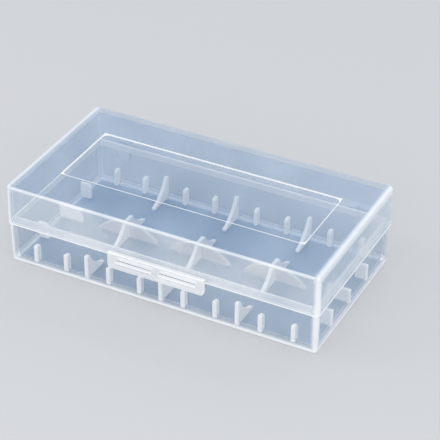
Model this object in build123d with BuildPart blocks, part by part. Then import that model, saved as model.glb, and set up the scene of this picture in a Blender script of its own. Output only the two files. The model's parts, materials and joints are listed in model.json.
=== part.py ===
"""Hinged storage case for two cylindrical cells, moulded in translucent polypropylene.

The cells lie in two rows along X. The origin is the middle of the underside, +Z is up,
the latch is on the -Y side and the hinge on the +Y side. Millimetres.
"""

from math import sqrt
import os

from build123d import *

# ---------------------------------------------------------------- driving dimensions

# The cells that the case holds, and the room that each one has.
cell_diameter = 18.4
cell_length = 69.6
cell_side_gap = 0.15  # cell to long wall
cell_row_gap = 1.0  # cell to cell
cell_end_gap = 0.2  # cell to end stop
cell_head_gap = 0.1  # cell to lid
cradle_clearance = 0.2  # scallop radius over cell radius

# Walls of the two mouldings.
base_wall = 1.2
lid_wall = 0.9
floor_thickness = 0.9
lid_top_thickness = 0.9
corner_radius = 1.2  # upright corners, at the lid's rim
inner_corner_radius = 0.5  # and inside, at the least
lid_overhang = 0.3  # the lid's rim stands proud of the base all round
base_draft = 0.15  # inward lean of the base's walls, rim to foot
lid_draft = 0.15  # inward lean of the lid's walls, rim to top
foot_round = 0.5
floor_inner_round = 0.4
lid_edge_round = 0.5
lid_inner_round = 0.4
parting_gap = 0.05

# Locating lip that stands on the base's rim, inside the lid.
lip_height = 1.7
lip_gap = 0.1

# Shallow label panel in the lid's top.
label_end_margin = 8.45
label_side_margin = 10.4
label_corner = 1.3
label_depth = 0.25

# Ribs that carry and space the cells.
cradle_thickness = 0.9
cradle_wall_top = 6.5
cradle_middle_top = 5.5
cradle_thin_edge = 0.3  # the scallop's feather edge is cut off at this height
divider_thickness = 0.9
divider_crown = 4.5  # top of the arched arms, at the cradle
divider_reach = 7.8  # foot of an arm, from the cradle's middle
end_divider_top = 4.0
end_divider_reach = 5.4  # along its top, from the end wall
end_divider_slope = 0.8
wall_rib_thickness = 1.05
wall_rib_top = 5.0
wall_rib_spacing = 8.0  # the two ribs of one bay
wall_rib_round = 0.9
end_stop_length = 2.7
end_stop_thickness = 0.9
end_stop_top = 4.8
end_stop_chamfer = 0.7

# Moulded snap hinge along the back.
hinge_radius = 1.45
hinge_wall_gap = 0.15  # knuckle to the lid's rim
hinge_barrel_length = 60.0
hinge_ear_length = 4.0
hinge_end_gap = 0.2
hinge_pin_radius = 0.8
hinge_pin_length = 3.0
hinge_bore_gap = 0.06
hinge_web_thickness = 1.3
hinge_gusset_drop = 2.6

# Flexing latch tab on the lid, and the catch ridges on the base behind it.
latch_width = 24.2
latch_top_rise = 1.4  # above the rim of the base
latch_drop = 2.7  # below the rim of the base
latch_thickness = 1.0
latch_lid_gap = 0.05
latch_corner = 0.9
latch_edge_round = 0.2
window_top_drop = 0.08  # below the rim of the base
window_height = 0.9
window_length = 9.1
window_bridge = 1.9
catch_margin = 0.15
catch_height = 0.5
catch_gap = 0.1

# ---------------------------------------------------------------- sizes that follow

cell_radius = cell_diameter / 2
row_offset = cell_radius + cell_row_gap / 2
inner_half_length = cell_length / 2 + cell_end_gap + end_stop_length
inner_half_width = row_offset + cell_radius + cell_side_gap
rim_to_inside = base_wall + lid_overhang
rim_length = 2 * (inner_half_length + rim_to_inside)
rim_width = 2 * (inner_half_width + rim_to_inside)

inner_height = cell_diameter + cell_head_gap
total_height = floor_thickness + inner_height + lid_top_thickness
base_height = total_height / 2
lid_rim_height = base_height + parting_gap
lid_ceiling = total_height - lid_top_thickness
lip_inset = lid_wall + lip_gap

scallop_radius = cell_radius + cradle_clearance
scallop_height = floor_thickness + scallop_radius
feather_reach = sqrt(scallop_radius**2 - (scallop_radius - cradle_thin_edge) ** 2)

bay_length = (2 * inner_half_length + base_wall) / 4
cradle_places = {"left": -bay_length, "centre": 0.0, "right": bay_length}
bay_centres = [bay_length * step for step in (-1.5, -0.5, 0.5, 1.5)]
wall_rib_places = [centre + side * wall_rib_spacing / 2 for centre in bay_centres for side in (-1, 1)]

hinge_y = rim_width / 2 + hinge_wall_gap + hinge_radius
hinge_z = base_height
latch_back = rim_width / 2 + latch_lid_gap

ends = {"left": -1, "right": 1}
sides = {"front": -1, "back": 1}

os.makedirs("parts", exist_ok=True)


def save(piece, name):
    """Names a finished piece and writes it."""
    piece.part.label = name
    export_step(piece.part, f"parts/{name}.step")


def outline(height, inset):
    """The case's rounded outline at one height, set in from the lid's rim on every side."""
    with BuildSketch(Plane.XY.offset(height)) as section:
        corner = max(corner_radius - inset, inner_corner_radius)
        RectangleRounded(rim_length - 2 * inset, rim_width - 2 * inset, corner)
    return section.sketch


def base_lean(height):
    """How far the base's walls have leaned in at this height."""
    return base_draft * (base_height - height) / base_height


def lid_lean(height):
    """How far the lid's walls have leaned in at this height."""
    return lid_draft * (height - lid_rim_height) / (total_height - lid_rim_height)


def cell_room(height):
    """Half of a cell seat's width at this height."""
    return sqrt(scallop_radius**2 - (scallop_height - height) ** 2)


# ---------------------------------------------------------------- base moulding

# Outside of the base, from the foot to the rim.
with BuildPart() as base_block:
    foot = outline(0, lid_overhang + base_draft)
    rim = outline(base_height, lid_overhang)
    loft([foot, rim], ruled=True)
    fillet(base_block.edges().group_by(Axis.Z)[0], foot_round)

# Space inside the base, from the floor to the rim.
with BuildPart() as cavity:
    floor_edge = outline(floor_thickness, rim_to_inside + base_lean(floor_thickness))
    mouth = outline(base_height, rim_to_inside)
    loft([floor_edge, mouth], ruled=True)
    fillet(cavity.edges().group_by(Axis.Z)[0], floor_inner_round)

with BuildPart() as base_tray:
    add(base_block.part)
    add(cavity.part, mode=Mode.SUBTRACT)
    extrude(outline(base_height, lip_inset), amount=lip_height)
    extrude(mouth, amount=lip_height, mode=Mode.SUBTRACT)
save(base_tray, "base_tray")

# Cradles: a scalloped plate crosses the floor at each quarter of the length. The cells
# lie on the floor between its three humps: one on each long wall, and one in the middle.
for place, cradle_x in cradle_places.items():
    for side_name, side in sides.items():
        with BuildPart() as wall_cradle:
            with BuildSketch(Plane.YZ.offset(cradle_x - cradle_thickness / 2)):
                inner_edge = row_offset + feather_reach
                plate_width = rim_width / 2 - inner_edge
                with Locations((side * (inner_edge + plate_width / 2), cradle_wall_top / 2)):
                    Rectangle(plate_width, cradle_wall_top)
                with Locations((side * row_offset, scallop_height)):
                    Circle(scallop_radius, mode=Mode.SUBTRACT)
            extrude(amount=cradle_thickness)
            add(cavity.part, mode=Mode.INTERSECT)
        save(wall_cradle, f"{side_name}_cradle_{place}")

    # The middle hump, with an arched divider arm along the case on each side of it. The gap
    # between the arms of two neighbours lets a fingertip under a cell.
    with BuildPart() as row_divider:
        with BuildSketch(Plane.YZ.offset(cradle_x - cradle_thickness / 2)):
            hump_height = cradle_middle_top - floor_thickness
            with Locations((0, floor_thickness + hump_height / 2)):
                Rectangle(2 * (row_offset - feather_reach), hump_height)
            with Locations((-row_offset, scallop_height), (row_offset, scallop_height)):
                Circle(scallop_radius, mode=Mode.SUBTRACT)
        extrude(amount=cradle_thickness)
        with BuildSketch(Plane.XZ.offset(-divider_thickness / 2)):
            left_foot = (cradle_x - divider_reach, floor_thickness)
            right_foot = (cradle_x + divider_reach, floor_thickness)
            with BuildLine():
                ThreePointArc(left_foot, (cradle_x, divider_crown), right_foot)
                Line(right_foot, left_foot)
            make_face()
        extrude(amount=divider_thickness)
    save(row_divider, f"row_divider_{place}")

for end_name, end in ends.items():
    beyond_wall = end * rim_length / 2

    # Short divider arm on the end wall, with a steep end.
    with BuildPart() as end_divider:
        with BuildSketch(Plane.XZ.offset(-divider_thickness / 2)):
            arm_tip = end * (inner_half_length - end_divider_reach)
            with BuildLine():
                Polyline(
                    (beyond_wall, floor_thickness),
                    (arm_tip - end * end_divider_slope, floor_thickness),
                    (arm_tip, end_divider_top),
                    (beyond_wall, end_divider_top),
                    close=True,
                )
            make_face()
        extrude(amount=divider_thickness)
        add(cavity.part, mode=Mode.INTERSECT)
    save(end_divider, f"end_divider_{end_name}")

    # End stops: an upright fin at each end of each row, which a cell's end meets.
    stop_face = end * (inner_half_length - end_stop_length)
    for side_name, side in sides.items():
        with BuildPart() as end_stop:
            with BuildSketch(Plane.XZ.offset(-side * row_offset - end_stop_thickness / 2)):
                with BuildLine():
                    Polyline(
                        (beyond_wall, floor_thickness),
                        (stop_face, floor_thickness),
                        (stop_face, end_stop_top - end_stop_chamfer),
                        (stop_face + end * end_stop_chamfer, end_stop_top),
                        (beyond_wall, end_stop_top),
                        close=True,
                    )
                make_face()
            extrude(amount=end_stop_thickness)
            add(cavity.part, mode=Mode.INTERSECT)
        save(end_stop, f"end_stop_{end_name}_{side_name}")

# Wall ribs: two in each bay on each long wall. Their tips keep a cell off the wall.
rib_tip = row_offset + cell_room(wall_rib_top)
for side_name, side in sides.items():
    for number, rib_x in enumerate(wall_rib_places, 1):
        with BuildPart() as wall_rib:
            with BuildSketch(Plane.YZ.offset(rib_x - wall_rib_thickness / 2)):
                crown = (side * (rib_tip + wall_rib_round), wall_rib_top)
                shoulder = (side * rib_tip, wall_rib_top - wall_rib_round)
                middle = wall_rib_round * (1 - sqrt(0.5))
                with BuildLine():
                    ThreePointArc(crown, (side * (rib_tip + middle), wall_rib_top - middle), shoulder)
                    Polyline(
                        shoulder,
                        (side * rib_tip, floor_thickness),
                        (side * rim_width / 2, floor_thickness),
                        (side * rim_width / 2, wall_rib_top),
                        crown,
                    )
                make_face()
            extrude(amount=wall_rib_thickness)
            add(cavity.part, mode=Mode.INTERSECT)
        save(wall_rib, f"{side_name}_rib_{number}")

# Hinge ears: a knuckle at each end of the lid's barrel, with the stub pin that snaps in.
for end_name, end in ends.items():
    barrel_end = end * hinge_barrel_length / 2
    ear_face = barrel_end + end * hinge_end_gap
    with BuildPart() as hinge_ear:
        with BuildSketch(Plane.YZ.offset(ear_face)):
            with Locations((hinge_y, hinge_z)):
                Circle(hinge_radius)
            with BuildLine():
                Polyline(
                    (inner_half_width, hinge_z),
                    (hinge_y, hinge_z),
                    (hinge_y, hinge_z - hinge_radius),
                    (inner_half_width, hinge_z - hinge_radius - hinge_gusset_drop),
                    close=True,
                )
            make_face()
        extrude(amount=end * hinge_ear_length)
        add(base_block.part, mode=Mode.SUBTRACT)
        with BuildSketch(Plane.YZ.offset(ear_face)):
            with Locations((hinge_y, hinge_z)):
                Circle(hinge_pin_radius)
        extrude(amount=-end * hinge_pin_length)
    save(hinge_ear, f"hinge_ear_{end_name}")

    # Catch ridge behind each latch window. It stops just short of the latch, because the
    # snap of the real one is a flex of the plastic.
    catch_length = window_length - 2 * catch_margin
    catch_start = end * (window_bridge / 2 + catch_margin)
    catch_middle = base_height - window_top_drop - window_height / 2
    catch_tip = -(latch_back - catch_gap)
    with BuildPart() as catch_ridge:
        with BuildSketch(Plane.YZ.offset(catch_start)):
            with BuildLine():
                Polyline(
                    (-inner_half_width, catch_middle - catch_height / 2),
                    (catch_tip, catch_middle - catch_height / 4),
                    (catch_tip, catch_middle + catch_height / 4),
                    (-inner_half_width, catch_middle + catch_height / 2),
                    close=True,
                )
            make_face()
        extrude(amount=end * catch_length)
        add(base_block.part, mode=Mode.SUBTRACT)
    save(catch_ridge, f"catch_ridge_{end_name}")

# ---------------------------------------------------------------- lid moulding

# Outside of the lid, from its rim to its top.
with BuildPart() as lid_block:
    lid_rim = outline(lid_rim_height, 0)
    lid_top = outline(total_height, lid_draft)
    loft([lid_rim, lid_top], ruled=True)
    fillet(lid_block.edges().group_by(Axis.Z)[-1], lid_edge_round)

with BuildPart() as lid_space:
    lid_mouth = outline(lid_rim_height, lid_wall)
    ceiling = outline(lid_ceiling, lid_wall + lid_lean(lid_ceiling))
    loft([lid_mouth, ceiling], ruled=True)
    fillet(lid_space.edges().group_by(Axis.Z)[-1], lid_inner_round)

with BuildPart() as lid_shell:
    add(lid_block.part)
    add(lid_space.part, mode=Mode.SUBTRACT)
    with BuildSketch(Plane.XY.offset(total_height)):
        RectangleRounded(
            rim_length - 2 * (lid_draft + label_end_margin),
            rim_width - 2 * (lid_draft + label_side_margin),
            label_corner,
        )
    extrude(amount=-label_depth, mode=Mode.SUBTRACT)
save(lid_shell, "lid_shell")

# Long hinge barrel on the lid's back wall, with a blind socket in each end.
with BuildPart() as hinge_barrel:
    with BuildSketch(Plane.YZ.offset(-hinge_barrel_length / 2)):
        with Locations((hinge_y, hinge_z)):
            Circle(hinge_radius)
        with BuildLine():
            Polyline(
                (inner_half_width, lid_rim_height),
                (hinge_y, lid_rim_height),
                (hinge_y, lid_rim_height + hinge_web_thickness),
                (inner_half_width, lid_rim_height + hinge_web_thickness),
                close=True,
            )
        make_face()
    extrude(amount=hinge_barrel_length)
    add(lid_block.part, mode=Mode.SUBTRACT)
    for end in ends.values():
        with BuildSketch(Plane.YZ.offset(end * hinge_barrel_length / 2)):
            with Locations((hinge_y, hinge_z)):
                Circle(hinge_pin_radius + hinge_bore_gap)
        extrude(amount=-end * (hinge_pin_length + hinge_end_gap), mode=Mode.SUBTRACT)
save(hinge_barrel, "hinge_barrel")

# Latch tab: a flap that hangs from the lid's front edge over the base, with two windows.
with BuildPart() as latch_tab:
    with BuildSketch(Plane.XZ.offset(latch_back)) as latch_outline:
        with Locations((0, base_height + (latch_top_rise - latch_drop) / 2)):
            Rectangle(latch_width, latch_top_rise + latch_drop)
        fillet(latch_outline.vertices().group_by(Axis.Y)[0], latch_corner)
        window_middle = base_height - window_top_drop - window_height / 2
        window_place = (window_bridge + window_length) / 2
        with Locations((-window_place, window_middle), (window_place, window_middle)):
            Rectangle(window_length, window_height, mode=Mode.SUBTRACT)
    extrude(amount=latch_thickness)
    front_face = latch_tab.faces().sort_by(Axis.Y)[0]
    fillet(front_face.outer_wire().edges(), latch_edge_round)
save(latch_tab, "latch_tab")
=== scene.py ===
# %% [markdown]
# # A hinged battery case of milky plastic
#
# The real case is two injection mouldings of translucent polypropylene: a base with ribs that
# cradle two rows of cells, and a lid of the same depth with a snap latch in front and a barrel
# hinge behind. The CAD solids could be shown as they are, but the plastic is see-through, and
# where two solids only touch, their hidden faces would show. So this lesson models three pieces
# of closed skin in their place: the base, the lid and the latch.

# %% Frame
import json
import math

import bmesh
import bpy
from mathutils import Matrix, Vector


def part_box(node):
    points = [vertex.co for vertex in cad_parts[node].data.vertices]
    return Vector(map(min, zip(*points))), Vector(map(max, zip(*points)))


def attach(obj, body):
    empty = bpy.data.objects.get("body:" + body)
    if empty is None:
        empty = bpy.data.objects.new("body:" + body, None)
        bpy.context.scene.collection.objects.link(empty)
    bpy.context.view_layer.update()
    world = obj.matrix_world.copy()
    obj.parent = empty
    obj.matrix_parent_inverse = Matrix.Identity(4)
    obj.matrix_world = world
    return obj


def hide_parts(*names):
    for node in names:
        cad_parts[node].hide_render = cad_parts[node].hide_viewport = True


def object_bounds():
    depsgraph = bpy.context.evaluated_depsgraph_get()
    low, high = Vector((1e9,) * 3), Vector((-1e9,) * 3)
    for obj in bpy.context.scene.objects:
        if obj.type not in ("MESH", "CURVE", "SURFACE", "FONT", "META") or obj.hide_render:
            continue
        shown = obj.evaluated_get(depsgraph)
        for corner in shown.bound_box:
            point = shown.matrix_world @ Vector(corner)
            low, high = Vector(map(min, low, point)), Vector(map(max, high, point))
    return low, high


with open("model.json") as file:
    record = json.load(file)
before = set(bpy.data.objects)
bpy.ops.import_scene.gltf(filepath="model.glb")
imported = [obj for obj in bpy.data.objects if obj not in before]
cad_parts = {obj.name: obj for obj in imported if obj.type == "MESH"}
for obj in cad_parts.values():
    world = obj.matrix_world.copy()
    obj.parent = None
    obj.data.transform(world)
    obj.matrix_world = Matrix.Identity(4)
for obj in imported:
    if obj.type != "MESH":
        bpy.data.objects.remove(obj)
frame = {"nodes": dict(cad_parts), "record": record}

MM = 0.001
cad_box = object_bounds()
bodies = frame["record"]["behaviour"]["bodies"]
print("CAD nodes", len(frame["nodes"]), "on bodies", list(bodies))

# %% [markdown]
# ## Camera
#
# A product camera stands far off with a long lens, so that the box keeps its proportions. The
# camera looks down on the case from its front right. Its place is worked out from two angles, a
# distance and a small shift of the aim, and it is rolled by a third of a degree.

# %% Camera
VIEW_AZIMUTH = math.radians(27.0)
VIEW_ELEVATION = math.radians(33.86)
VIEW_ROLL = math.radians(0.36)
VIEW_DISTANCE = 410.6 * MM
AIM_RIGHT = 4.6 * MM
AIM_UP = 9.17 * MM
LENS = 144.4
NEAREST_SEEN = 10 * MM

toward_camera = Vector(
    (
        math.sin(VIEW_AZIMUTH) * math.cos(VIEW_ELEVATION),
        -math.cos(VIEW_AZIMUTH) * math.cos(VIEW_ELEVATION),
        math.sin(VIEW_ELEVATION),
    )
)
level_right = Vector((math.cos(VIEW_AZIMUTH), math.sin(VIEW_AZIMUTH), 0))
level_up = toward_camera.cross(level_right)
camera_right = math.cos(VIEW_ROLL) * level_right + math.sin(VIEW_ROLL) * level_up
camera_up = math.cos(VIEW_ROLL) * level_up - math.sin(VIEW_ROLL) * level_right

camera = bpy.data.objects.new("camera", bpy.data.cameras.new("camera"))
bpy.context.scene.collection.objects.link(camera)
camera.data.lens = LENS
camera.data.clip_start = NEAREST_SEEN
camera_turn = Matrix((camera_right, camera_up, toward_camera)).transposed().to_4x4()
camera_place = camera_right * AIM_RIGHT + camera_up * AIM_UP + toward_camera * VIEW_DISTANCE
camera.matrix_world = Matrix.Translation(camera_place) @ camera_turn
bpy.context.scene.camera = camera
print("camera at", [round(v, 3) for v in camera.location])

# %% [markdown]
# ## Stage and light
#
# Milky plastic shows its shape by the light that comes through it, so the case stands under an
# even, pale sky with four large soft lamps of about the same strength round it. One strong lamp
# would burn out the white edges on its own side and leave the others dull. The floor is a plain
# pale grey, a little darker than those edges. It is matt, because a glossy floor would mirror
# the lamps in views from low down.

# %% Stage
FLOOR_SIZE = 4
FLOOR_DROP = 0.05 * MM
FLOOR_COLOUR = (0.58, 0.585, 0.595, 1)
FLOOR_ROUGHNESS = 0.9
FLOOR_GLOSS = 0.1
SKY_COLOUR = (0.93, 0.96, 1.0, 1)
SKY_STRENGTH = 0.80

bpy.context.scene.view_settings.view_transform = "Standard"

floor_finish = bpy.data.materials.new("floor")
floor_finish.use_nodes = True
floor_inputs = floor_finish.node_tree.nodes["Principled BSDF"].inputs
floor_inputs["Base Color"].default_value = FLOOR_COLOUR
floor_inputs["Roughness"].default_value = FLOOR_ROUGHNESS
floor_inputs["Specular IOR Level"].default_value = FLOOR_GLOSS

bpy.ops.object.select_all(action="DESELECT")
bpy.ops.mesh.primitive_plane_add(size=FLOOR_SIZE, location=(0, 0, -FLOOR_DROP))
floor = bpy.context.object
floor.name = "floor"
floor.data.materials.append(floor_finish)

world = bpy.data.worlds.new("soft_sky")
world.use_nodes = True
sky_inputs = world.node_tree.nodes["Background"].inputs
sky_inputs["Color"].default_value = SKY_COLOUR
sky_inputs["Strength"].default_value = SKY_STRENGTH
bpy.context.scene.world = world
print("stage", floor.name, "under", world.name)

# %% Lamps
LAMP_AIM = Vector((0, 0, 10 * MM))

# Each lamp has its place, its width and depth in metres, and its strength in watts.
LAMPS = {
    "left_lamp": ((-0.40, -0.14, 0.34), (0.34, 0.30), 0.6),
    "right_lamp": ((0.44, -0.16, 0.32), (0.30, 0.30), 0.55),
    "back_lamp": ((0.08, 0.44, 0.40), (0.60, 0.22), 0.6),
    "front_lamp": ((0.04, -0.48, 0.26), (0.44, 0.20), 0.6),
}

for lamp_name, (lamp_place, lamp_size, watts) in LAMPS.items():
    lamp = bpy.data.objects.new(lamp_name, bpy.data.lights.new(lamp_name, "AREA"))
    bpy.context.scene.collection.objects.link(lamp)
    lamp.data.shape = "RECTANGLE"
    lamp.data.size, lamp.data.size_y = lamp_size
    lamp.data.energy = watts
    lamp.location = lamp_place
    aim = LAMP_AIM - Vector(lamp_place)
    lamp.rotation_euler = aim.to_track_quat("-Z", "Y").to_euler()
print("lamps", list(LAMPS))

# %% [markdown]
# ## Milky plastic
#
# Polypropylene scatters a little light everywhere, so a thin wall is a bluish veil and a thick
# place, such as a rib or a corner, is white. A wall seen at a slant is looked through for
# longer, so it veils more: where one surface hides the share `a` head on, the share hidden at
# an angle is `1 - (1 - a) ** (1 / cosine)`. The finish is written that way, as the alpha of a
# Principled shader. Scattering in a volume could do it too, but in walls a millimetre thick it
# is slow and grainy.
#
# Most of what the plastic scatters goes on as light. So a wall stops less of the light than it
# hides from the eye: the alpha counts in full for the camera's rays, and only in part for light
# on its way to the ribs inside, which would be dull otherwise.
#
# Two node groups are shared. The first holds slow clouds from the way the plastic flowed into
# the mould, and the fine texture of the mould's own surface. The second finds where a
# box-shaped moulding is thick to the eye: at its upright corners, along its foot, and along its
# top edges, where one looks down into a wall. Each kind of edge has a soft band of its own
# width, in which the plastic is dense and white. On the lid, the bands along the top edges are
# also a painted highlight, for the light that comes through its walls, and they are widest at
# its ends.


# %% Node helpers
def calculate(tree, operation, first, second=0.0):
    """A Math node. Each input is a number or a socket, and its result is handed back."""
    node = tree.nodes.new("ShaderNodeMath")
    node.operation = operation
    for socket, value in zip(node.inputs, (first, second)):
        if isinstance(value, (int, float)):
            socket.default_value = value
        else:
            tree.links.new(value, socket)
    return node.outputs["Value"]


def remap(tree, value, from_range, to_range, smooth=False):
    """A Map Range node between two pairs of numbers."""
    node = tree.nodes.new("ShaderNodeMapRange")
    node.interpolation_type = "SMOOTHSTEP" if smooth else "LINEAR"
    node.inputs["From Min"].default_value, node.inputs["From Max"].default_value = from_range
    node.inputs["To Min"].default_value, node.inputs["To Max"].default_value = to_range
    tree.links.new(value, node.inputs["Value"])
    return node.outputs["Result"]


def blend_colours(tree, factor, first, second):
    """A colour Mix node. Each colour is three numbers or a socket."""
    node = tree.nodes.new("ShaderNodeMix")
    node.data_type = "RGBA"
    tree.links.new(factor, node.inputs["Factor"])
    for socket, colour in zip((node.inputs["A"], node.inputs["B"]), (first, second)):
        if isinstance(colour, tuple):
            socket.default_value = (*colour, 1)
        else:
            tree.links.new(colour, socket)
    return node.outputs["Result"]


def new_group(name, inputs, outputs):
    """An empty shader group with named number inputs, and outputs given with their kinds."""
    group = bpy.data.node_groups.new(name, "ShaderNodeTree")
    for title in inputs:
        group.interface.new_socket(title, in_out="INPUT", socket_type="NodeSocketFloat")
    for title, kind in outputs.items():
        group.interface.new_socket(title, in_out="OUTPUT", socket_type=kind)
    given = group.nodes.new("NodeGroupInput").outputs
    result = group.nodes.new("NodeGroupOutput").inputs
    place = group.nodes.new("ShaderNodeTexCoord").outputs["Object"]
    return group, given, result, place


# %% Group: moulded surface
CLOUD_DETAIL = 3
CLOUD_RANGE = (0.3, 0.7)
GRAIN_SCALE = 2600
GRAIN_HEIGHT = 0.004 * MM

moulded_surface, given, result, place = new_group(
    "moulded_surface",
    ["Cloud Scale", "Grain Strength"],
    {"Clouds": "NodeSocketFloat", "Normal": "NodeSocketVector"},
)
flow = moulded_surface.nodes.new("ShaderNodeTexNoise")
flow.inputs["Detail"].default_value = CLOUD_DETAIL
moulded_surface.links.new(place, flow.inputs["Vector"])
moulded_surface.links.new(given["Cloud Scale"], flow.inputs["Scale"])
clouds = remap(moulded_surface, flow.outputs["Fac"], CLOUD_RANGE, (0, 1), smooth=True)
moulded_surface.links.new(clouds, result["Clouds"])
grain = moulded_surface.nodes.new("ShaderNodeTexNoise")
grain.inputs["Scale"].default_value = GRAIN_SCALE
moulded_surface.links.new(place, grain.inputs["Vector"])
bump = moulded_surface.nodes.new("ShaderNodeBump")
bump.inputs["Distance"].default_value = GRAIN_HEIGHT
moulded_surface.links.new(given["Grain Strength"], bump.inputs["Strength"])
moulded_surface.links.new(grain.outputs["Fac"], bump.inputs["Height"])
moulded_surface.links.new(bump.outputs["Normal"], result["Normal"])
print("group", moulded_surface.name, [s.name for s in moulded_surface.interface.items_tree])

# %% Group: thick edges and painted highlights
CORNER_SHARE = 0.95
FOOT_SHARE = 1.0
BAND_CORE = 0.3

thick_edges_and_highlights, given, result, place = new_group(
    "thick_edges_and_highlights",
    ["Half Length", "Half Width", "Foot", "Top"]
    + ["Corner Band", "Foot Band", "End Band", "Side Band", "Top Share"],
    {"Thick And Highlit": "NodeSocketFloat"},
)


def measure(operation, first, second=0.0):
    """A Math node of this group."""
    return calculate(thick_edges_and_highlights, operation, first, second)


apart = thick_edges_and_highlights.nodes.new("ShaderNodeSeparateXYZ")
thick_edges_and_highlights.links.new(place, apart.inputs["Vector"])
off_end = measure("SUBTRACT", given["Half Length"], measure("ABSOLUTE", apart.outputs["X"]))
off_side = measure("SUBTRACT", given["Half Width"], measure("ABSOLUTE", apart.outputs["Y"]))
above_foot = measure("SUBTRACT", apart.outputs["Z"], given["Foot"])
below_top = measure("SUBTRACT", given["Top"], apart.outputs["Z"])

# A point on a face is at no distance from that face, so the larger of two distances is how far
# it is from the edge where two faces meet. A band is full near the edge and then fades.
off_wall = measure("MINIMUM", off_end, off_side)
bands = (
    (measure("MAXIMUM", off_end, off_side), "Corner Band", CORNER_SHARE),
    (measure("MAXIMUM", off_wall, above_foot), "Foot Band", FOOT_SHARE),
    # The two top bands, scaled by Top Share, are partly a painted highlight along the lid's top
    # edges.
    (measure("MAXIMUM", off_end, below_top), "End Band", given["Top Share"]),
    (measure("MAXIMUM", off_side, below_top), "Side Band", given["Top Share"]),
)
thick_and_highlit = 0.0
for distance, band, share in bands:
    in_bands = measure("DIVIDE", distance, given[band])
    near_edge = remap(thick_edges_and_highlights, in_bands, (BAND_CORE, 1), (1, 0), smooth=True)
    thick_and_highlit = measure("MAXIMUM", thick_and_highlit, measure("MULTIPLY", near_edge, share))
thick_edges_and_highlights.links.new(thick_and_highlit, result["Thick And Highlit"])
print("group", thick_edges_and_highlights.name, [s.name for s in thick_edges_and_highlights.interface.items_tree])

# %% Milky finish
PLASTIC_IOR = 1.49
CLOUD_SCALE = 70
GRAIN_STRENGTH = 0.4
ROUGHNESS_SPREAD = (0.85, 1.2)
HAZE_SPREAD = (0.88, 1.15)
STEEPEST_COSINE = 0.16
DENSE_AND_HIGHLIGHT_VEIL = 0.84
DENSE_AND_HIGHLIGHT_COLOUR = (0.96, 0.962, 0.97)
LIGHT_STOPPED = 0.30


def milky_plastic(name, thin_colour, cloud_colour, veil, roughness, box_edges=None):
    """Translucent polypropylene. veil is the share of the view that one surface hides head on."""
    material = bpy.data.materials.new(name)
    material.use_nodes = True
    tree = material.node_tree
    shader = tree.nodes["Principled BSDF"]
    shader.inputs["IOR"].default_value = PLASTIC_IOR

    surface = tree.nodes.new("ShaderNodeGroup")
    surface.node_tree = moulded_surface
    surface.inputs["Cloud Scale"].default_value = CLOUD_SCALE
    surface.inputs["Grain Strength"].default_value = GRAIN_STRENGTH
    clouds = surface.outputs["Clouds"]
    tree.links.new(surface.outputs["Normal"], shader.inputs["Normal"])
    rough = remap(tree, clouds, (0, 1), [share * roughness for share in ROUGHNESS_SPREAD])
    tree.links.new(rough, shader.inputs["Roughness"])

    colour = blend_colours(tree, clouds, thin_colour, cloud_colour)
    clear = 1 - veil
    # The bands make the plastic dense and white where it is thick, and on the lid's top edges
    # they are also a painted highlight.
    if box_edges:
        edges = tree.nodes.new("ShaderNodeGroup")
        edges.node_tree = thick_edges_and_highlights
        for title, value in box_edges.items():
            edges.inputs[title].default_value = value
        colour = blend_colours(tree, edges.outputs["Thick And Highlit"], colour, DENSE_AND_HIGHLIGHT_COLOUR)
        clear = remap(tree, edges.outputs["Thick And Highlit"], (0, 1), (1 - veil, 1 - DENSE_AND_HIGHLIGHT_VEIL))
    tree.links.new(colour, shader.inputs["Base Color"])

    # At a blend of a half, Facing is 0 head on and 1 edge on, and one less the cosine between.
    slant = tree.nodes.new("ShaderNodeLayerWeight")
    slant.inputs["Blend"].default_value = 0.5
    cosine = remap(tree, slant.outputs["Facing"], (0, 1), (1, STEEPEST_COSINE))
    haze = remap(tree, clouds, (0, 1), HAZE_SPREAD)
    passed = calculate(tree, "POWER", clear, calculate(tree, "DIVIDE", haze, cosine))
    hidden = calculate(tree, "SUBTRACT", 1.0, passed)

    ray = tree.nodes.new("ShaderNodeLightPath")
    stopped = remap(tree, ray.outputs["Is Camera Ray"], (0, 1), (LIGHT_STOPPED, 1))
    tree.links.new(calculate(tree, "MULTIPLY", hidden, stopped), shader.inputs["Alpha"])
    return material


# %% [markdown]
# ## The finishes of the case
#
# All of the case is one kind of plastic, so the finishes differ only in how much they veil and
# in their tint. Thin walls and floors are bluer, since thin milky plastic scatters blue light
# most. The floor and the lid's top are a deep, dark blue: the blue is the plastic's, and the
# darkness is painted shade for the shade seen through them. Lip, latch and hinge are thicker and
# paler, and ribs and rounded edges are nearly white. The base has no bright band along its top,
# because the lid stands over it.

# %% The finishes of the case
tray_low, tray_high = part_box("base_tray")
lid_low, lid_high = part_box("lid_shell")

base_edges = {
    "Half Length": tray_high.x,
    "Half Width": tray_high.y,
    "Foot": tray_low.z,
    "Top": tray_high.z,
    "Corner Band": 1.9 * MM,
    "Foot Band": 1.9 * MM,
    "End Band": 1.0 * MM,
    "Side Band": 1.0 * MM,
    "Top Share": 0.0,
}
# On the lid, End Band, Side Band and Top Share also set a painted highlight along the top edges,
# broadest at the ends.
lid_edges = {
    "Half Length": lid_high.x,
    "Half Width": lid_high.y,
    "Foot": lid_low.z,
    "Top": lid_high.z,
    "Corner Band": 1.8 * MM,
    "Foot Band": 0.8 * MM,
    "End Band": 2.2 * MM,
    "Side Band": 0.9 * MM,
    "Top Share": 0.72,
}
# The first blue is the plastic's blue, darkened with painted shade for the shade seen through the
# floor and the lid's top.
SHADED_DEEP_BLUE = (0.165, 0.295, 0.485)
THIN_BLUE = (0.29, 0.42, 0.60)
CLOUD_BLUE = (0.46, 0.57, 0.71)
PALE_BLUE = (0.73, 0.78, 0.84)

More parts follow.
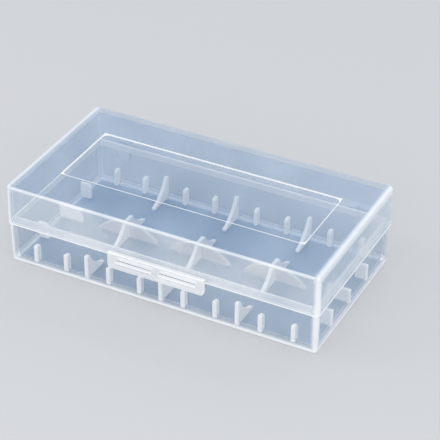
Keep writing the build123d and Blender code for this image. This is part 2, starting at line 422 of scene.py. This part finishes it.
# Each finish has its name, two colours, its veil, its roughness and its moulding's bands.
PLASTICS = (
    milky_plastic("base_wall_milk", THIN_BLUE, CLOUD_BLUE, 0.14, 0.20, base_edges),
    milky_plastic("floor_milk", SHADED_DEEP_BLUE, THIN_BLUE, 0.26, 0.10),
    milky_plastic("lid_top_milk", SHADED_DEEP_BLUE, THIN_BLUE, 0.18, 0.16, lid_edges),
    milky_plastic("lid_wall_milk", CLOUD_BLUE, PALE_BLUE, 0.24, 0.20, lid_edges),
    milky_plastic("lip_milk", (0.88, 0.89, 0.91), (0.92, 0.92, 0.93), 0.64, 0.24),
    milky_plastic("latch_milk", (0.88, 0.885, 0.90), (0.93, 0.93, 0.935), 0.46, 0.24),
    milky_plastic("arm_milk", (0.90, 0.88, 0.88), (0.96, 0.93, 0.91), 0.40, 0.30),
    milky_plastic("rib_milk", (0.96, 0.95, 0.945), (0.98, 0.97, 0.96), 0.92, 0.30),
    milky_plastic("edge_milk", (0.98, 0.975, 0.97), (0.99, 0.985, 0.98), 0.94, 0.22),
)
BASE_MILK, FLOOR_MILK, LID_TOP_MILK, LID_WALL_MILK = range(4)
LIP, LATCH, ARM, RIB, EDGE = range(4, len(PLASTICS))
print("finishes", [plastic.name for plastic in PLASTICS])

# %% [markdown]
# ## Workshop helpers
#
# Each step below starts from a cube or a cylinder and shapes it in edit mode. Faces and edges
# are picked in code by where they lie and which way they face, since there is no mouse here.

# %% Helpers: selecting
STRAIGHT = 0.9  # A unit direction with more than this along an axis runs along that axis.


def select_only(piece):
    """Makes piece the one selected and active object."""
    if bpy.context.mode != "OBJECT":
        bpy.ops.object.mode_set(mode="OBJECT")
    bpy.ops.object.select_all(action="DESELECT")
    piece.select_set(True)
    bpy.context.view_layer.objects.active = piece


def pick(piece, kind, test):
    """In edit mode, selects the faces or edges that pass a test of their middle and direction."""
    bpy.ops.mesh.select_mode(type=kind)
    bpy.ops.mesh.select_all(action="DESELECT")
    mesh = bmesh.from_edit_mesh(piece.data)
    if kind == "FACE":
        for face in mesh.faces:
            face.select_set(test(face.calc_center_median(), face.normal))
    else:
        for edge in mesh.edges:
            start, end = (vert.co for vert in edge.verts)
            edge.select_set(test((start + end) / 2, (end - start).normalized()))
    bmesh.update_edit_mesh(piece.data)


def near(value, target, gap=0.02 * MM):
    """Tells whether two lengths are the same for the eye."""
    return abs(value - target) < gap


# %% Helpers: making
def paint(piece, slot):
    """Puts every finish in the piece's slots, and gives all of its faces one of them."""
    piece.data.materials.clear()
    for plastic in PLASTICS:
        piece.data.materials.append(plastic)
    for face in piece.data.polygons:
        face.material_index = slot


def add_block(name, low, high, slot=RIB):
    """A cube between two corners."""
    bpy.ops.object.select_all(action="DESELECT")
    low, high = Vector(low), Vector(high)
    bpy.ops.mesh.primitive_cube_add(size=1, location=(low + high) / 2, scale=high - low)
    piece = bpy.context.object
    piece.name = name
    bpy.ops.object.transform_apply(location=True, rotation=True, scale=True)
    paint(piece, slot)
    return piece


def add_rod(name, start, stop, radius, sides, slot=RIB):
    """A cylinder from one point to another."""
    bpy.ops.object.select_all(action="DESELECT")
    start, stop = Vector(start), Vector(stop)
    bpy.ops.mesh.primitive_cylinder_add(
        vertices=sides,
        radius=radius,
        depth=(stop - start).length,
        location=(start + stop) / 2,
        rotation=(stop - start).to_track_quat("Z", "Y").to_euler(),
    )
    piece = bpy.context.object
    piece.name = name
    bpy.ops.object.transform_apply(location=True, rotation=True, scale=True)
    paint(piece, slot)
    return piece


# %% Helpers: joining and finishing
SHARP_ANGLE = math.radians(35)
SMOOTH_ANGLE = math.radians(50)


def apply_all(piece):
    """Applies every modifier of piece, in order."""
    select_only(piece)
    for modifier in list(piece.modifiers):
        bpy.ops.object.modifier_apply(modifier=modifier.name)


def combine(piece, tool, operation):
    """Joins tool to piece, or cuts it out, as one closed skin. The tool is used up."""
    boolean = piece.modifiers.new("combine", "BOOLEAN")
    boolean.operation = operation
    boolean.solver = "EXACT"
    boolean.material_mode = "TRANSFER"
    boolean.object = tool
    apply_all(piece)
    bpy.data.objects.remove(tool)
    return piece


def gather(name, pieces):
    """Makes one object of several, and leaves each of their skins whole."""
    select_only(pieces[0])
    for piece in pieces[1:]:
        piece.select_set(True)
    bpy.ops.object.join()
    pieces[0].name = name
    return pieces[0]


def soften(piece, width, segments=2):
    """Rounds every sharp edge, as a mould's cutter does, and paints the rounds white."""
    bevel = piece.modifiers.new("soften", "BEVEL")
    bevel.width = width
    bevel.segments = segments
    bevel.limit_method = "ANGLE"
    bevel.angle_limit = SHARP_ANGLE
    bevel.material = EDGE
    bevel.use_clamp_overlap = True
    apply_all(piece)
    return piece


def finish_piece(piece, body, nodes):
    """Smooths a moulding and puts it on its CAD body in place of its nodes."""
    select_only(piece)
    bpy.ops.object.shade_smooth_by_angle(angle=SMOOTH_ANGLE)
    weighted = piece.modifiers.new("weighted", "WEIGHTED_NORMAL")
    weighted.keep_sharp = True
    apply_all(piece)
    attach(piece, body)
    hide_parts(*nodes)
    mesh = bmesh.new()
    mesh.from_mesh(piece.data)
    open_edges = sum(not edge.is_manifold for edge in mesh.edges)
    size = [round(v / MM, 2) for v in piece.dimensions]
    print(piece.name, "faces", len(mesh.faces), "open edges", open_edges, "size mm", size)
    mesh.free()


# %% [markdown]
# ## A leaning, round-cornered block
#
# Base and lid both start as the same thing: a box with four rounded upright corners, whose
# walls lean inward away from the parting line so that the moulding leaves its mould. A cube is
# added at the size of the wide end, its narrow end is scaled in, and its corners are bevelled.
# The spaces inside the two mouldings are the same kind of block with tighter corners.

# %% Leaning block
CORNER_SEGMENTS = 6
EDGE_SEGMENTS = 4


def leaning_block(name, low, high, slot, narrow_z, corner, lean=0, edge_round=0):
    """A box whose end at narrow_z is smaller by lean all round, with that end's edge rounded."""
    piece = add_block(name, low, high, slot)
    width, depth = piece.dimensions.x, piece.dimensions.y
    bpy.ops.object.mode_set(mode="EDIT")
    pick(piece, "FACE", lambda middle, normal: near(middle.z, narrow_z))
    shrink = ((width - 2 * lean) / width, (depth - 2 * lean) / depth, 1)
    bpy.ops.transform.resize(value=shrink, center_override=(0, 0, narrow_z))
    pick(piece, "EDGE", lambda middle, along: abs(along.z) > STRAIGHT)
    bpy.ops.mesh.bevel(offset=corner, segments=CORNER_SEGMENTS, affect="EDGES")
    if edge_round:
        pick(piece, "EDGE", lambda middle, along: near(middle.z, narrow_z))
        bpy.ops.mesh.bevel(offset=edge_round, segments=EDGE_SEGMENTS, affect="EDGES")
    bpy.ops.object.mode_set(mode="OBJECT")
    return piece


# %% [markdown]
# ## Base tray
#
# The tray is an outer block, with a thin collar set on it that locates the lid, less the space
# inside. An open box with a Solidify modifier would be quicker, but its corners would be as
# thin as its walls. Here the space's corners are tighter than the outside's, so the plastic is
# thick there, as it is on the real moulding.

# %% Tray outside
BASE_LEAN = 0.15 * MM
BASE_CORNER = 0.9 * MM
BASE_FOOT_ROUND = 0.5 * MM
INNER_CORNER = 0.5 * MM
LIP_HEIGHT = 1.7 * MM
LIP_INSET = 0.7 * MM

rim_z = tray_high.z - LIP_HEIGHT


def spread(inset, z):
    """The right back corner of the base's outline at height z, set in by inset."""
    return (tray_high.x - inset, tray_high.y - inset, z)


def opposite(inset, z):
    """The left front corner of the same outline."""
    return (inset - tray_high.x, inset - tray_high.y, z)


tray = leaning_block(
    "base_moulding",
    tray_low,
    spread(0, rim_z),
    BASE_MILK,
    narrow_z=tray_low.z,
    corner=BASE_CORNER,
    lean=BASE_LEAN,
    edge_round=BASE_FOOT_ROUND,
)
collar = leaning_block(
    "collar",
    opposite(LIP_INSET, rim_z - LIP_HEIGHT),
    spread(LIP_INSET, tray_high.z),
    LIP,
    narrow_z=tray_high.z,
    corner=INNER_CORNER,
)
combine(tray, collar, "UNION")
print("tray outside, faces", len(tray.data.polygons))

# %% Tray inside
BASE_WALL = 1.2 * MM
FLOOR_THICKNESS = 0.9 * MM
INNER_ROUND = 0.4 * MM
WALL_ROUND = 0.1 * MM

space = leaning_block(
    "space",
    opposite(BASE_WALL, FLOOR_THICKNESS),
    spread(BASE_WALL, rim_z),
    BASE_MILK,
    narrow_z=FLOOR_THICKNESS,
    corner=INNER_CORNER,
    lean=BASE_LEAN * (rim_z - FLOOR_THICKNESS) / rim_z,
    edge_round=INNER_ROUND,
)
bpy.ops.object.mode_set(mode="EDIT")
pick(space, "FACE", lambda middle, normal: normal.z > STRAIGHT)
bpy.ops.mesh.extrude_region_move(TRANSFORM_OT_translate={"value": (0, 0, 2 * LIP_HEIGHT)})
bpy.ops.object.mode_set(mode="OBJECT")
for face in space.data.polygons:
    if face.normal.z < -STRAIGHT:
        face.material_index = FLOOR_MILK
    elif face.center.z > rim_z:
        face.material_index = LIP
combine(tray, space, "DIFFERENCE")
soften(tray, WALL_ROUND)
print("tray faces", len(tray.data.polygons))

# %% [markdown]
# ## Ribs, stops and cradles
#
# Every rib is a thin upright fin on the floor. Its place and size come from its CAD node, and
# it runs a little way into the wall and the floor, which is where it grows from on the real
# moulding. A boolean could merge it with them, but then the part of it in the wall would be
# gone. Left as a closed skin of its own, it shows white through the wall, as the real ribs do.
#
# The cells lie in cylinders along X, so cutting two such cylinders out of the cradles shapes
# all the scallops at once. A divider arm is a low arch, which is what a thin block and a large
# cylinder have in common.

# %% Fins from the frame
X, Y = 0, 1
ROOT = 0.35 * MM


def fin(node, across):
    """A block of a CAD node's size, with its foot in the floor and its back in a wall.

    across is the axis that the wall faces along.
    """
    low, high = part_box(node)
    low.z -= ROOT
    if low[across] + high[across] > 0:
        high[across] += ROOT
    else:
        low[across] -= ROOT
    return add_block(node, low, high)


def round_shoulder(piece, across, radius, segments):
    """Rounds the upper inner edge of a fin, the one nearest the middle of the case."""
    along = 1 - across
    reach = min(abs(vert.co[across]) for vert in piece.data.vertices)
    top = max(vert.co.z for vert in piece.data.vertices)
    select_only(piece)
    bpy.ops.object.mode_set(mode="EDIT")
    pick(
        piece,
        "EDGE",
        lambda middle, run: abs(run[along]) > STRAIGHT
        and near(middle.z, top)
        and near(abs(middle[across]), reach),
    )
    bpy.ops.mesh.bevel(offset=radius, segments=segments, affect="EDGES")
    bpy.ops.object.mode_set(mode="OBJECT")
    return piece


# %% Ribs and stops
RIB_ROUND = 0.3 * MM
RIB_ROUND_SEGMENTS = 3
RIB_SHOULDER = 0.9 * MM
RIB_SHOULDER_SEGMENTS = 5
STOP_ROUND = 0.2 * MM
STOP_SHOULDER = 0.7 * MM
STOP_SHOULDER_SEGMENTS = 1

fins = []
for node in bodies["base"]:
    if "_rib_" in node:
        rib = round_shoulder(fin(node, Y), Y, RIB_SHOULDER, RIB_SHOULDER_SEGMENTS)
        fins.append(soften(rib, RIB_ROUND, RIB_ROUND_SEGMENTS))
    elif node.startswith("end_stop"):
        stop = round_shoulder(fin(node, X), X, STOP_SHOULDER, STOP_SHOULDER_SEGMENTS)
        fins.append(soften(stop, STOP_ROUND))
print("ribs and stops", len(fins))

# %% Wall cradles
wall_cradles = [fin(node, Y) for node in bodies["base"] if "_cradle_" in node]
print("wall cradles", len(wall_cradles))

# %% Dividers
ARM_THICKNESS = 0.9 * MM
ARM_CROWN = 4.5 * MM
ARM_REACH = 7.8 * MM
END_ARM_SLOPE = 0.8 * MM
CURVE_SIDES = 160

half_arm = ARM_THICKNESS / 2
arm_rise = ARM_CROWN - FLOOR_THICKNESS
arch_radius = (ARM_REACH**2 + arm_rise**2) / (2 * arm_rise)
arch_z = ARM_CROWN - arch_radius
dividers = []
for node in [n for n in bodies["base"] if n.startswith("row_divider")]:
    low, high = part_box(node)
    centre_x = (low.x + high.x) / 2
    foot_z = low.z - ROOT
    hump_low = (centre_x - half_arm, low.y, foot_z)
    hump_high = (centre_x + half_arm, high.y, high.z)
    hump = add_block(node, hump_low, hump_high)
    arm_low = (low.x - ROOT, -half_arm, foot_z)
    arm_high = (high.x + ROOT, half_arm, ARM_CROWN)
    arm = add_block("arm", arm_low, arm_high, ARM)
    arch_start = (centre_x, -ARM_THICKNESS, arch_z)
    arch_stop = (centre_x, ARM_THICKNESS, arch_z)
    arch = add_rod("arch", arch_start, arch_stop, arch_radius, CURVE_SIDES, ARM)
    combine(arm, arch, "INTERSECT")
    dividers.append(combine(hump, arm, "UNION"))

for node in ("end_divider_left", "end_divider_right"):
    arm = fin(node, X)
    low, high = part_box(node)
    side = 1 if high.x > 0 else -1
    inner_x = low.x if side > 0 else high.x
    select_only(arm)
    bpy.ops.object.mode_set(mode="EDIT")
    pick(
        arm,
        "EDGE",
        lambda middle, run: abs(run.y) > STRAIGHT
        and near(middle.x, inner_x)
        and near(middle.z, high.z),
    )
    bpy.ops.transform.translate(value=(side * END_ARM_SLOPE, 0, 0))
    bpy.ops.object.mode_set(mode="OBJECT")
    dividers.append(arm)
print("dividers", len(dividers))

# %% Seats of the cells
SEAT_RADIUS = 9.4 * MM
SEAT_OFFSET = 9.7 * MM
FIN_ROUND = 0.1 * MM

cradles = gather("cradles", wall_cradles + dividers)
seat_end, seat_z = cad_box[1].x, FLOOR_THICKNESS + SEAT_RADIUS
for seat_y in (-SEAT_OFFSET, SEAT_OFFSET):
    seat_start, seat_stop = (-seat_end, seat_y, seat_z), (seat_end, seat_y, seat_z)
    seat = add_rod("seat", seat_start, seat_stop, SEAT_RADIUS, CURVE_SIDES)
    combine(cradles, seat, "DIFFERENCE")
soften(cradles, FIN_ROUND)
all_fins = gather("fins", [cradles, *fins])
print("ribs and cradles faces", len(all_fins.data.polygons))

# %% [markdown]
# ## Hinge ears and catch ridges
#
# At each end of the lid's barrel the base has a knuckle with a stub pin. It is a short rod, a
# gusset that carries it from the wall, and a thinner rod for the pin, all merged with the tray,
# since the moulding is solid there. The catch ridges are two slim bars that the latch's windows
# snap over. The fins join the tray last, because a boolean after that would drop what is inside
# the walls.

# %% Hinge ears
HINGE_RADIUS = 1.45 * MM
HINGE_END_GAP = 0.2 * MM
HINGE_ROUND = 0.15 * MM
KNUCKLE_SIDES = 40
PIN_RADIUS = 0.8 * MM
PIN_ROUND = 0.1 * MM
PIN_SIDES = 32
GUSSET_DROP = 2.6 * MM

barrel_low, barrel_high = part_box("hinge_barrel")
hinge_y = barrel_high.y - HINGE_RADIUS
hinge_z = barrel_low.z + HINGE_RADIUS
gusset_y = tray_high.y - 2 * ROOT
gusset_z = hinge_z - HINGE_RADIUS


def hinge_rod(name, one_x, other_x, radius, sides, slot=RIB):
    """A rod on the hinge's axis between two places along X."""
    start_x, stop_x = sorted((one_x, other_x))
    start, stop = (start_x, hinge_y, hinge_z), (stop_x, hinge_y, hinge_z)
    return add_rod(name, start, stop, radius, sides, slot)


for end, node in ((-1, "hinge_ear_left"), (1, "hinge_ear_right")):
    low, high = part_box(node)
    outer_x, pin_x = (high.x, low.x) if end > 0 else (low.x, high.x)
    face_x = end * (barrel_high.x + HINGE_END_GAP)
    knuckle = hinge_rod(node, face_x, outer_x, HINGE_RADIUS, KNUCKLE_SIDES, LIP)
    soften(knuckle, HINGE_ROUND)
    start_x, stop_x = sorted((face_x, outer_x))
    gusset = add_block("gusset", (start_x, gusset_y, gusset_z), (stop_x, hinge_y, hinge_z), LIP)
    bpy.ops.object.mode_set(mode="EDIT")
    pick(
        gusset,
        "EDGE",
        lambda middle, run: abs(run.x) > STRAIGHT
        and near(middle.y, gusset_y)
        and near(middle.z, gusset_z),
    )
    bpy.ops.transform.translate(value=(0, 0, -GUSSET_DROP))
    bpy.ops.object.mode_set(mode="OBJECT")
    combine(knuckle, gusset, "UNION")
    pin = hinge_rod("pin", pin_x, face_x + end * ROOT, PIN_RADIUS, PIN_SIDES)
    soften(pin, PIN_ROUND)
    combine(knuckle, pin, "UNION")
    combine(tray, knuckle, "UNION")
print("tray with hinge ears, faces", len(tray.data.polygons))

# %% Catch ridges, and the base put together
RIDGE_ROUND = 0.08 * MM

for node in ("catch_ridge_left", "catch_ridge_right"):
    low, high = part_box(node)
    ridge = add_block(node, low, (high.x, 2 * ROOT - tray_high.y, high.z))
    soften(ridge, RIDGE_ROUND)
    combine(tray, ridge, "UNION")

tray = gather("base_moulding", [tray, all_fins])
finish_piece(tray, "base", bodies["base"])

# %% [markdown]
# ## Lid
#
# The lid is the same leaning block the other way up, less the space inside. A shallow panel for
# a label is sunk in its top, a quarter of a millimetre deep. On the real lid the edge of that
# step catches the light on all four sides as a thin line. A step cut alone would hide its front
# and right sides from most views, so a very shallow, narrow rim is cut round it first. That line
# is a painted highlight here: the rim gets the pale lip finish and the step's sides the white
# edge finish.

# %% Lid shell
LID_LEAN = 0.15 * MM
LID_CORNER = 1.2 * MM
LID_EDGE_ROUND = 0.5 * MM
LID_WALL = 0.9 * MM
LID_TOP_THICKNESS = 0.9 * MM
SPARE = 1 * MM  # How far a tool runs on past what it cuts.

ceiling_z = lid_high.z - LID_TOP_THICKNESS
lid = leaning_block(
    "lid_moulding",
    lid_low,
    lid_high,
    LID_WALL_MILK,
    narrow_z=lid_high.z,
    corner=LID_CORNER,
    lean=LID_LEAN,
    edge_round=LID_EDGE_ROUND,
)
space = leaning_block(
    "space",
    (lid_low.x + LID_WALL, lid_low.y + LID_WALL, lid_low.z),
    (lid_high.x - LID_WALL, lid_high.y - LID_WALL, ceiling_z),
    LID_WALL_MILK,
    narrow_z=ceiling_z,
    corner=INNER_CORNER,
    lean=LID_LEAN,
    edge_round=INNER_ROUND,
)
bpy.ops.object.mode_set(mode="EDIT")
pick(space, "FACE", lambda middle, normal: normal.z < -STRAIGHT)
bpy.ops.mesh.extrude_region_move(TRANSFORM_OT_translate={"value": (0, 0, -SPARE)})
bpy.ops.object.mode_set(mode="OBJECT")
combine(lid, space, "DIFFERENCE")
soften(lid, WALL_ROUND)
for face in lid.data.polygons:
    if face.material_index == LID_WALL_MILK and abs(face.normal.z) > STRAIGHT:
        face.material_index = LID_TOP_MILK
print("lid shell faces", len(lid.data.polygons))

# %% Label panel
LABEL_END_MARGIN = 8.6 * MM
LABEL_SIDE_MARGIN = 10.55 * MM
LABEL_CORNER = 1.3 * MM
LABEL_DEPTH = 0.25 * MM
LABEL_LEAN = 0.1 * MM
RIM_WIDTH = 0.18 * MM
RIM_DEPTH = 0.03 * MM
RIM_LEAN = RIM_DEPTH  # Its sides slope at 45 degrees.


def sink_panel(widened, depth, lean, side_slot, floor_slot):
    """Cuts the label's outline, widened all round, into the lid's top."""
    margin_x, margin_y = LABEL_END_MARGIN - widened, LABEL_SIDE_MARGIN - widened
    panel = leaning_block(
        "label",
        (lid_low.x + margin_x, lid_low.y + margin_y, lid_high.z - depth),
        (lid_high.x - margin_x, lid_high.y - margin_y, lid_high.z + depth),
        floor_slot,
        narrow_z=lid_high.z - depth,
        corner=LABEL_CORNER + widened,
        lean=lean,
    )
    for face in panel.data.polygons:
        if abs(face.normal.z) < STRAIGHT:
            face.material_index = side_slot
    combine(lid, panel, "DIFFERENCE")


# The rim's pale lip finish and the step's white sides are a painted highlight line round the
# label.
sink_panel(RIM_WIDTH, RIM_DEPTH, RIM_LEAN, LIP, LIP)
sink_panel(0, LABEL_DEPTH, LABEL_LEAN, EDGE, LID_TOP_MILK)
print("lid with label panel, faces", len(lid.data.polygons))

# %% [markdown]
# ## Hinge barrel
#
# The lid carries the long middle knuckle of the hinge: a rod, a web that joins it to the lid's
# back wall, and a bore in each end for the base's stub pins. It is merged with the lid, since
# the moulding is solid there.

# %% Hinge barrel
WEB_THICKNESS = 1.3 * MM
WEB_END_INSET = 0.1 * MM
BORE_RADIUS = 0.86 * MM
BORE_DEPTH = 3.2 * MM

barrel = hinge_rod("barrel", barrel_low.x, barrel_high.x, HINGE_RADIUS, KNUCKLE_SIDES, LIP)
soften(barrel, HINGE_ROUND)
web = add_block(
    "web",
    (barrel_low.x + WEB_END_INSET, lid_high.y - 2 * ROOT, lid_low.z),
    (barrel_high.x - WEB_END_INSET, hinge_y, lid_low.z + WEB_THICKNESS),
    LIP,
)
combine(barrel, web, "UNION")
for end in (-1, 1):
    bore_x, open_x = end * (barrel_high.x - BORE_DEPTH), end * (barrel_high.x + SPARE)
    bore = hinge_rod("bore", bore_x, open_x, BORE_RADIUS, PIN_SIDES, LIP)
    combine(barrel, bore, "DIFFERENCE")
combine(lid, barrel, "UNION")
finish_piece(lid, "lid", bodies["lid"])

# %% [markdown]
# ## Latch
#
# The latch is a flap as thick as the walls, with rounded lower corners and two long windows
# that the base's catch ridges stand behind. The windows are cut out as blocks, so that their
# edges can be rounded like the rest. The flap is denser to look at than the walls, because it
# lies over them, and its rounds are white.

# %% Latch
LATCH_CORNER = 0.9 * MM
LATCH_ROUND = 0.12 * MM
WINDOW_HEIGHT = 0.9 * MM
WINDOW_LENGTH = 9.1 * MM
WINDOW_BRIDGE = 1.9 * MM
WINDOW_TOP_DROP = 0.08 * MM

latch_low, latch_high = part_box("latch_tab")
latch = add_block("latch_flap", latch_low, latch_high, LATCH)
bpy.ops.object.mode_set(mode="EDIT")
pick(
    latch,
    "EDGE",
    lambda middle, along: abs(along.y) > STRAIGHT and near(middle.z, latch_low.z),
)
bpy.ops.mesh.bevel(offset=LATCH_CORNER, segments=CORNER_SEGMENTS, affect="EDGES")
bpy.ops.object.mode_set(mode="OBJECT")
window_z = rim_z - WINDOW_TOP_DROP
for end in (-1, 1):
    inner_x, outer_x = end * WINDOW_BRIDGE / 2, end * (WINDOW_BRIDGE / 2 + WINDOW_LENGTH)
    start_x, stop_x = sorted((inner_x, outer_x))
    window = add_block(
        "window",
        (start_x, latch_low.y - SPARE, window_z - WINDOW_HEIGHT),
        (stop_x, latch_high.y + SPARE, window_z),
    )
    combine(latch, window, "DIFFERENCE")
soften(latch, LATCH_ROUND)
finish_piece(latch, "latch", bodies["latch"])
